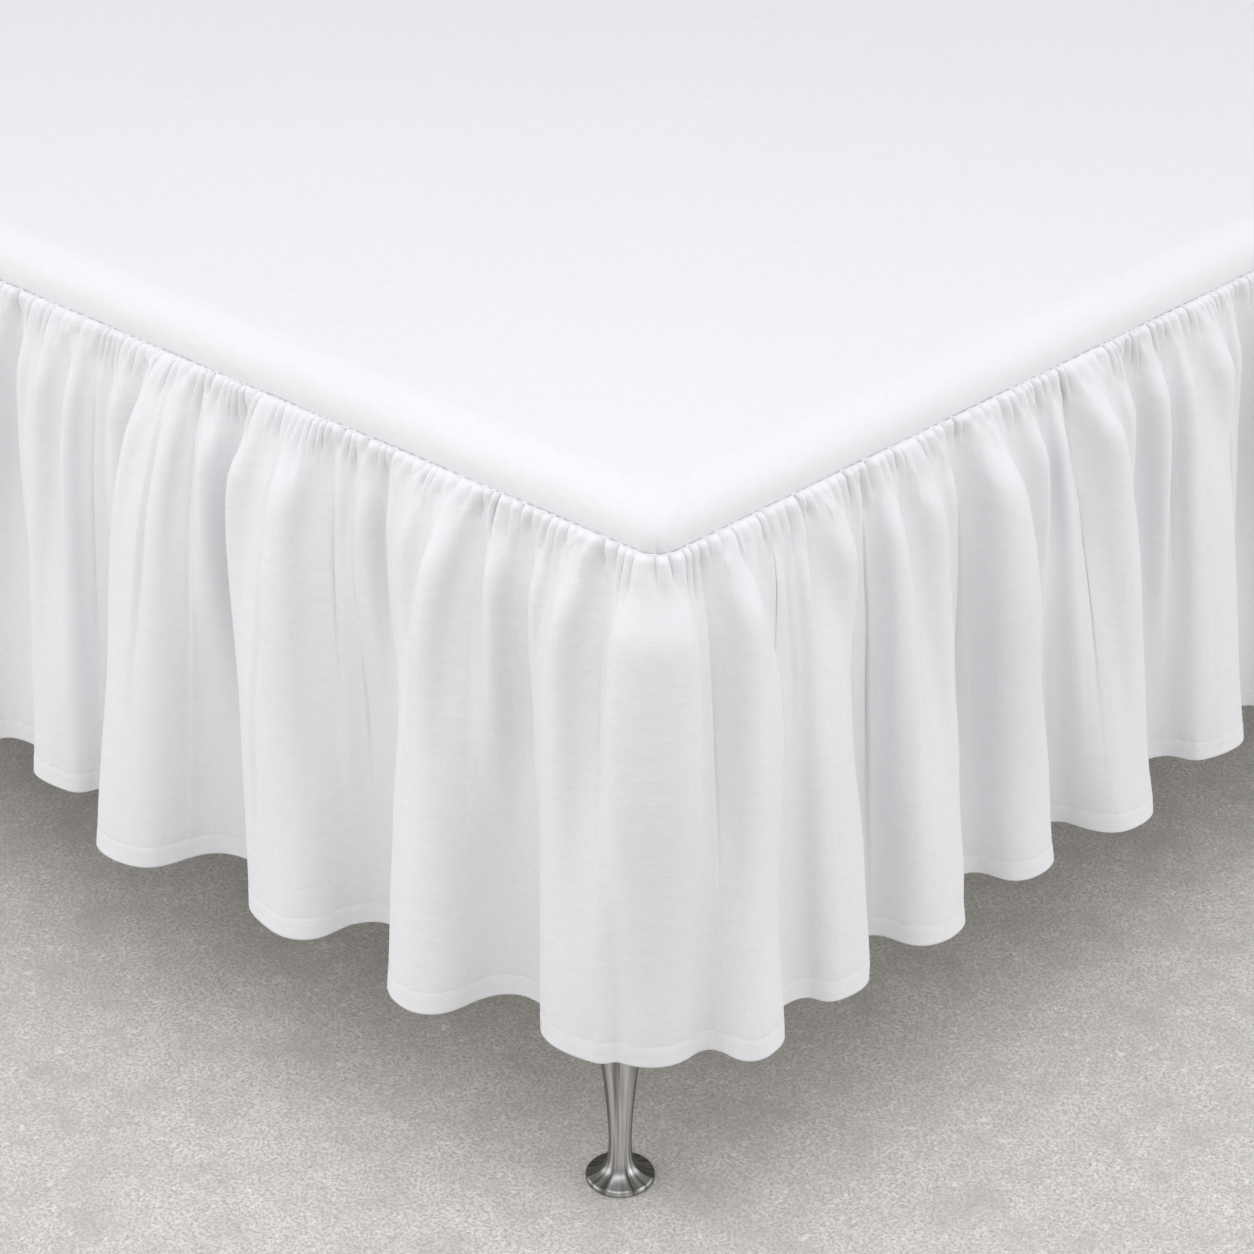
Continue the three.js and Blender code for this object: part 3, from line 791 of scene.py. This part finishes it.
def surface(name, build, colour, **values):
    """The material of this name, built the first time that a piece asks for it."""
    if name not in bpy.data.materials:
        material = bpy.data.materials.new(name)
        material.use_nodes = True
        tree = material.node_tree
        build(Nodes(tree), tree.nodes["Principled BSDF"], tuple(colour), **values)
    return bpy.data.materials[name]


def plain_weave():
    """Crossed threads with slubs: a height, and a mask of the thin places, on coordinates in metres."""
    name = "plain_weave"
    if name in bpy.data.node_groups:
        return bpy.data.node_groups[name]
    group = bpy.data.node_groups.new(name, "ShaderNodeTree")
    for way, kind, label, default in (
        ("INPUT", "Vector", "Vector", None),
        ("INPUT", "Float", "Thread pitch", 0.0006),
        ("INPUT", "Float", "Slub", 0.5),
        ("OUTPUT", "Float", "Height", None),
        ("OUTPUT", "Float", "Thin", None),
    ):
        socket = group.interface.new_socket(name=label, in_out=way, socket_type="NodeSocket" + kind)
        if default is not None:
            socket.default_value = default
    n = Nodes(group)
    vector, pitch, slub, _ = group.nodes.new("NodeGroupInput").outputs
    wander = n.stretch(n.noise(vector, 90.0, 0.0, output="Color"), (0.0007, 0.0007, 0.0))
    parts = n.add("SeparateXYZ", [(0, n.vector("ADD", vector, wander))])
    turn = n.math("DIVIDE", math.pi, pitch)
    warp, weft = (n.math("SINE", n.math("MULTIPLY", parts.outputs[axis], turn)) for axis in (0, 1))
    across, down = n.math("ABSOLUTE", warp), n.math("ABSOLUTE", weft)
    over = n.math("MULTIPLY_ADD", n.math("MULTIPLY", warp, weft), 0.5, 0.5)
    under = n.math("SUBTRACT", 1.0, over)
    thread = n.math("ADD", n.math("MULTIPLY", across, over), n.math("MULTIPLY", down, under))
    ways = (60.0, 1500.0, 1.0), (1500.0, 60.0, 1.0)
    slubs = n.math("ADD", *(n.noise(n.stretch(vector, way), 1.0, 1.0) for way in ways))
    uneven = n.math("MULTIPLY", n.math("SUBTRACT", slubs, 1.0), slub)
    height = n.math("ADD", n.math("MULTIPLY", thread, 0.5), uneven)
    outside = group.nodes.new("NodeGroupOutput")
    n.fill(outside, [("Height", height), ("Thin", n.range(slubs, 0.82, 1.18))])
    return group


def woven_cotton(n, shader, colour, pitch, sheen, shade, crumple):
    """Plain woven cotton: thread and slub relief, soft pressed creases, and a slight change of tone."""
    place = n.unrolled("cloth")
    sockets = [("Vector", place), ("Thread pitch", pitch), ("Slub", 0.9)]
    weave = n.add("Group", sockets, node_tree=plain_weave())
    height, thin = weave.outputs
    tone = n.both(thin, 0.6, n.noise(n.body(), 5.0, 1.0))
    pressed = n.noise(n.stretch(place, (1.0, 1.7, 1.0)), 60.0, 3.0, 0.6)
    relief = n.bump(height, 0.30, 0.0002, Normal=n.bump(pressed, crumple, 0.0016))
    n.fill(shader, [
        ("Base Color", n.mix(tone, toned(colour, shade), colour)),
        ("Normal", relief),
        ("Roughness", n.range(thin, 0.0, 1.0, 0.84, 0.95)),
        ("Sheen Weight", sheen),
        ("Sheen Roughness", 0.45),
        ("Specular IOR Level", 0.22),
    ])


def sewing_thread(n, shader, colour):
    """Twisted cotton thread."""
    twist = n.noise(n.stretch(n.body(), (1.0, 1.0, 2.0)), 1400.0, 2.0)
    n.fill(shader, [
        ("Base Color", n.mix(twist, toned(colour, 0.82), colour)),
        ("Normal", n.bump(twist, 0.4, 0.0001)),
        ("Roughness", 0.7),
    ])


def turned_steel(n, shader, colour):
    """Turned steel: fine marks round the leg, soft upright streaks, and a few smudges, with painted
    reflection in its colour: light and dark upright bands, darker towards the edges.
    """
    place = n.unrolled("turned")
    parts = n.add("SeparateXYZ", [(0, place)])
    turn = n.math("DIVIDE", parts.outputs[0], TURN_UV)
    round_leg = [n.math("COSINE", turn), n.math("SINE", turn), n.math("MULTIPLY", parts.outputs[1], 2.5)]
    ring = n.add("CombineXYZ", enumerate(round_leg)).outputs[0]
    # painted reflection: slow light and dark bands round the leg stand in for the lamps and shade that it
    # reflects
    painted_reflection_bands = n.range(n.noise(ring, 3.2, 2.0, 0.65), 0.40, 0.62)
    ways = (420.0, 5.0, 1.0), (4.0, 2600.0, 1.0)
    streak, rings = (n.noise(n.stretch(place, way), 1.0, 3.0, 0.6) for way in ways)
    smudge = n.noise(n.body(), 30.0, 2.0)
    marks = n.both(streak, 0.6, rings)
    # painted shade: the colour darkens towards the leg's edges, where it faces away from the view
    facing = n.add("LayerWeight", [("Blend", 0.5)]).outputs["Facing"]
    edges = n.range(facing, 0.30, 0.85, 1.0, 0.22)
    painted_reflection_and_marks = n.math("MULTIPLY", edges, n.range(painted_reflection_bands, 0.0, 1.0, 0.26, 1.0))
    painted_reflection_and_marks = n.math("MULTIPLY", painted_reflection_and_marks, n.range(marks, 0.38, 0.60, 0.75, 1.0))
    rough = n.math("ADD", n.range(marks, 0.3, 0.7, 0.26, 0.36), n.range(smudge, 0.45, 0.75, 0.0, 0.08))
    n.fill(shader, [
        ("Base Color", n.mix(painted_reflection_and_marks, toned(colour, 0.12), toned(colour, 1.32))),
        ("Roughness", rough),
        ("Normal", n.bump(marks, 0.12, 0.0003)),
        ("Tangent", n.add("Tangent", direction_type="UV_MAP", uv_map="turned").outputs[0]),
        ("Anisotropic", 0.85),
        ("Anisotropic Rotation", 0.25),
        ("Metallic", 1.0),
    ])


def stage_concrete(n, shader, colour):
    """Warm grey floor: cloudy tone, fine speckle, pale trowel curls and small dark pits."""
    place = n.body()
    cloud = n.noise(place, 2.6, 3.0, 0.6)
    patch = n.noise(place, 24.0, 4.0, 0.65)
    speckle = n.noise(place, 420.0, 1.0, 0.7)
    tone = n.range(n.both(cloud, 0.45, patch), 0.36, 0.64)
    base = n.mix(tone, toned(colour, 0.84), toned(colour, 1.12))
    base = n.mix(n.range(speckle, 0.34, 0.62), toned(colour, 0.70), base)
    # the curls lie where a slow wavering field passes its middle
    field = n.noise(place, 185.0, 0.0, 0.5, 0.9)
    off_middle = n.math("ABSOLUTE", n.math("SUBTRACT", field, 0.5))
    curl = n.math("MULTIPLY", n.range(off_middle, 0.006, 0.040, 1.0, 0.0), n.range(patch, 0.30, 0.52))
    base = n.mix(n.math("MULTIPLY", curl, 0.7), base, toned(colour, 1.30))
    cells = [("Vector", n.stretch(place, (1.0, 1.3, 1.0))), ("Scale", 75.0), ("Randomness", 1.0)]
    pits = n.range(n.add("TexVoronoi", cells).outputs["Distance"], 0.06, 0.12, 1.0, 0.0)
    pits = n.math("MULTIPLY", pits, n.range(n.noise(place, 16.0, 1.0), 0.46, 0.60))
    n.fill(shader, [
        ("Base Color", n.mix(n.math("MULTIPLY", pits, 0.6), base, toned(colour, 0.42))),
        ("Roughness", n.range(speckle, 0.3, 0.7, 0.72, 0.9)),
        ("Normal", n.bump(speckle, 0.25, 0.0006)),
        ("Specular IOR Level", 0.25),
    ])


def skirt_cotton(colours):
    weave = {"pitch": 0.00062, "sheen": 0.25, "shade": 0.955, "crumple": 0.42}
    return surface("skirt_cotton", woven_cotton, colours.cloth, **weave)


# ---- operators


class BEDSKIRT_OT_base(bpy.types.Operator):
    """Bed base: a plain covered block with rounded edges"""

    bl_idname = "bedskirt.base"
    bl_label = "Bed base"

    def execute(self, context):
        sizes, colours = context.scene.skirt_sizes, context.scene.skirt_colours
        middle_y = Hang(sizes).middle_y * MM
        top = sizes.top_height - (CLOTH + TOUCH_GAP) * MM
        height = top - sizes.underside
        deselect()
        place = (0, middle_y, sizes.underside + height / 2)
        bpy.ops.mesh.primitive_cube_add(
            size=1, location=place, scale=(sizes.bed_width, sizes.bed_length, height)
        )
        base = context.active_object
        base.name = base.data.name = "base_cover"
        bpy.ops.object.transform_apply(location=True, rotation=True, scale=True)
        hair, top_round, foot_round = 1e-5, EDGE_ROUND - CLOTH - SIDE_CLEARANCE, 6
        self.round_edges(base, lambda a, b: abs(a.z - b.z) > height / 2, BASE_CORNER, 10)
        self.round_edges(base, lambda a, b: min(a.z, b.z) > top - hair, top_round, 8)
        self.round_edges(base, lambda a, b: max(a.z, b.z) < sizes.underside + hair, foot_round, 4)
        bpy.ops.object.mode_set(mode="EDIT")
        bpy.ops.mesh.select_all(action="SELECT")
        bpy.ops.uv.cube_project(cube_size=1.0, correct_aspect=False, scale_to_bounds=False)
        bpy.ops.object.mode_set(mode="OBJECT")
        base.data.uv_layers[0].name = "cloth"
        bpy.ops.object.shade_smooth_by_angle(angle=math.radians(40))
        base.data.materials.clear()
        weave = {"pitch": 0.0011, "sheen": 0.1, "shade": 0.90, "crumple": 0.12}
        cover = surface("base_cotton", woven_cotton, colours.cover, **weave)
        base.data.materials.append(cover)
        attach(base, "root")
        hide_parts("bed_base")
        return {"FINISHED"}

    def round_edges(self, piece, chosen, radius, segments):
        """Bevels the sharp edges whose two ends are chosen, by a radius in millimetres."""
        bpy.ops.object.mode_set(mode="EDIT")
        bpy.ops.mesh.select_mode(type="EDGE")
        bpy.ops.mesh.select_all(action="DESELECT")
        work = bmesh.from_edit_mesh(piece.data)
        found = 0
        for edge in work.edges:
            a, b = (vertex.co for vertex in edge.verts)
            sharp = len(edge.link_faces) == 2 and edge.calc_face_angle() > math.radians(30)
            if chosen(a, b) and sharp:
                edge.select = True
                found += 1
        work.select_flush_mode()
        bmesh.update_edit_mesh(piece.data)
        if not found:
            raise RuntimeError("no edges found to round")
        bpy.ops.mesh.bevel(
            offset=radius * MM, offset_type="OFFSET", segments=segments, profile=0.5, affect="EDGES"
        )
        bpy.ops.object.mode_set(mode="OBJECT")


class BEDSKIRT_OT_panel(bpy.types.Operator):
    """Platform panel: the sheet that lies on the base and holds the ruffles"""

    bl_idname = "bedskirt.panel"
    bl_label = "Platform panel"

    def execute(self, context):
        sizes = context.scene.skirt_sizes
        hang = Hang(sizes)
        panel = make_object("platform_sheet", panel_mesh("platform_sheet", hang, sizes))
        panel.data.materials.append(skirt_cotton(context.scene.skirt_colours))
        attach(panel, "root")
        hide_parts("platform_panel")
        return {"FINISHED"}


class BEDSKIRT_OT_ruffles(bpy.types.Operator):
    """Ruffles: three gathered lengths with their stitched hems"""

    bl_idname = "bedskirt.ruffles"
    bl_label = "Gathered ruffles"

    def execute(self, context):
        sizes, colours = context.scene.skirt_sizes, context.scene.skirt_colours
        hang = Hang(sizes)
        gathers = Gathers(hang, sizes)
        hem_depth = sizes.hem_depth / MM
        rows = cloth_rows(hem_depth, hang.drop)
        cloth, thread = skirt_cotton(colours), surface("hem_thread", sewing_thread, colours.thread)
        stations = np.arange(len(hang.seam))
        lengths = (
            ("left", 0, hang.left_join - JOIN_HALF_GAP),
            ("foot", hang.left_join + JOIN_HALF_GAP, hang.right_join - JOIN_HALF_GAP),
            ("right", hang.right_join + JOIN_HALF_GAP, hang.last),
        )
        for side, start, end in lengths:
            start, end = np.interp([start, end], stations, hang.seam)
            places = gathers.columns(start, end)
            middle = hanging_cloth(hang, gathers, places, rows, hem_depth)
            mesh, cut = ruffle_mesh(f"skirt_ruffle_{side}", middle, hang, sizes, rows)
            ruffle = make_object(f"skirt_ruffle_{side}", mesh)
            mesh.materials.append(cloth)
            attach(ruffle, "root")
            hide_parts(f"ruffle_{side}")
            name = f"hem_stitches_{side}"
            stitches = make_object(name, stitch_mesh(name, middle, rows, hang, sizes))
            stitches.data.materials.append(thread)
            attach(stitches, "root")
        return {"FINISHED"}


class BEDSKIRT_OT_legs(bpy.types.Operator):
    """Legs: four turned steel legs with disc feet"""

    bl_idname = "bedskirt.legs"
    bl_label = "Turned legs"

    def execute(self, context):
        sizes, colours = context.scene.skirt_sizes, context.scene.skirt_colours
        hang = Hang(sizes)
        deselect()
        bpy.ops.mesh.primitive_circle_add(
            vertices=LEG_SIDES, radius=LEG_OUTLINE[0][1] * MM, fill_type="NGON", location=(0, 0, 0)
        )
        leg = context.active_object
        bpy.ops.object.mode_set(mode="EDIT")
        bpy.ops.mesh.select_mode(type="FACE")
        bpy.ops.mesh.select_all(action="SELECT")
        for (low, narrow), (high, wide) in zip(LEG_OUTLINE[:-1], LEG_OUTLINE[1:]):
            bpy.ops.mesh.extrude_region_move(TRANSFORM_OT_translate={"value": (0, 0, (high - low) * MM)})
            widen = wide / narrow
            bpy.ops.transform.resize(value=(widen, widen, 1), center_override=(0, 0, high * MM))
        bpy.ops.mesh.select_all(action="SELECT")
        bpy.ops.mesh.normals_make_consistent(inside=False)
        bpy.ops.object.mode_set(mode="OBJECT")
        bpy.ops.object.shade_smooth_by_angle(angle=math.radians(50))
        self.unroll(leg.data)
        leg.data.materials.append(surface("turned_leg_steel", turned_steel, colours.steel))
        x = (hang.half_width - LEG_IN_FROM_SIDE) * MM
        y = (hang.half_length - LEG_IN_FROM_END) * MM
        for end, side_y in (("foot", -y), ("head", y)):
            for side, side_x in (("left", -x), ("right", x)):
                mesh = leg.data.copy()
                mesh.transform(Matrix.Translation((side_x, side_y + hang.middle_y * MM, 0)))
                mesh.name = f"steel_leg_{end}_{side}"
                piece = make_object(f"steel_leg_{end}_{side}", mesh)
                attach(piece, "root")
                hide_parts(f"leg_{end}_{side}")
        bpy.data.objects.remove(leg)
        return {"FINISHED"}

    def unroll(self, mesh):
        """Round the leg and up it, in metres, for the brush marks."""
        layer = mesh.uv_layers.new(name="turned")
        disc_radius, across_disc = 0.024, 0.5
        for face in mesh.polygons:
            places = [mesh.vertices[index].co for index in face.vertices]
            turns = [math.atan2(place.y, place.x) for place in places]
            wrap = max(turns) - min(turns) > math.pi
            for index, place, turn in zip(face.loop_indices, places, turns):
                turn += 2 * math.pi if wrap and turn < 0 else 0
                climb = place.z + (disc_radius - math.hypot(place.x, place.y)) * across_disc
                layer.data[index].uv = (turn * TURN_UV, climb)


class BEDSKIRT_OT_stage(bpy.types.Operator):
    """Stage: the floor, soft studio light and the camera"""

    bl_idname = "bedskirt.stage"
    bl_label = "Stage"

    def execute(self, context):
        scene, colours = context.scene, context.scene.skirt_colours
        deselect()
        bpy.ops.mesh.primitive_grid_add(
            x_subdivisions=24, y_subdivisions=24, size=FLOOR_SIZE, location=(0, 0, FLOOR_HEIGHT)
        )
        floor = context.active_object
        floor.name = floor.data.name = "stage_floor"
        bpy.ops.object.transform_apply(location=True, rotation=True, scale=True)
        floor.data.materials.append(surface("stage_floor", stage_concrete, colours.floor))

        scene.view_settings.view_transform = "Standard"
        world = scene.world or bpy.data.worlds.new("World")
        scene.world = world
        world.use_nodes = True
        sky = world.node_tree.nodes["Background"]
        n = Nodes(world.node_tree)
        in_steel = n.add("LightPath").outputs["Is Glossy Ray"]
        strength = n.range(in_steel, 0.0, 1.0, SKY_ON_CLOTH, SKY_IN_STEEL)
        n.fill(sky, [("Color", SKY_COLOUR), ("Strength", strength)])

        for name, place, target, size, power, shade in LIGHTS:
            lamp = bpy.data.lights.new(name, "AREA")
            lamp.shape = "RECTANGLE"
            lamp.size, lamp.size_y = size
            lamp.energy = power
            lamp.color = shade
            light = bpy.data.objects.new(name, lamp)
            scene.collection.objects.link(light)
            light.location = place
            aim = Vector(target) - Vector(place)
            light.rotation_euler = aim.to_track_quat("-Z", "Y").to_euler()

        lens = bpy.data.cameras.new("view")
        lens.lens, lens.sensor_width = LENS, SENSOR
        lens.sensor_fit = "HORIZONTAL"
        lens.clip_start, lens.clip_end = 0.05, 100
        camera = bpy.data.objects.new("view", lens)
        scene.collection.objects.link(camera)
        camera.location = CAMERA_PLACE
        camera.rotation_euler = (math.radians(90 - CAMERA_DOWN), 0, math.radians(CAMERA_TURN))
        scene.camera = camera
        return {"FINISHED"}


class BEDSKIRT_PT_panel(bpy.types.Panel):
    """Lists the bed skirt's sizes, colours and build steps"""

    bl_idname = "BEDSKIRT_PT_panel"
    bl_label = "Bed skirt"
    bl_space_type = "VIEW_3D"
    bl_region_type = "UI"
    bl_category = "Bed skirt"

    def draw(self, context):
        for group in (context.scene.skirt_sizes, context.scene.skirt_colours):
            box = self.layout.box()
            for key in group.__annotations__:
                box.prop(group, key)
        for step in STEPS:
            self.layout.operator(step.bl_idname)


STEPS = (BEDSKIRT_OT_base, BEDSKIRT_OT_panel, BEDSKIRT_OT_ruffles, BEDSKIRT_OT_legs, BEDSKIRT_OT_stage)
CLASSES = (SkirtSizes, SkirtColours, *STEPS, BEDSKIRT_PT_panel)


def register():
    for kind in CLASSES:
        bpy.utils.register_class(kind)
    bpy.types.Scene.skirt_sizes = PointerProperty(type=SkirtSizes)
    bpy.types.Scene.skirt_colours = PointerProperty(type=SkirtColours)


def unregister():
    del bpy.types.Scene.skirt_colours
    del bpy.types.Scene.skirt_sizes
    for kind in reversed(CLASSES):
        bpy.utils.unregister_class(kind)


def main():
    register()
    bpy.ops.bedskirt.base()
    bpy.ops.bedskirt.panel()
    bpy.ops.bedskirt.ruffles()
    bpy.ops.bedskirt.legs()
    bpy.ops.bedskirt.stage()


if __name__ == "__main__":
    main()
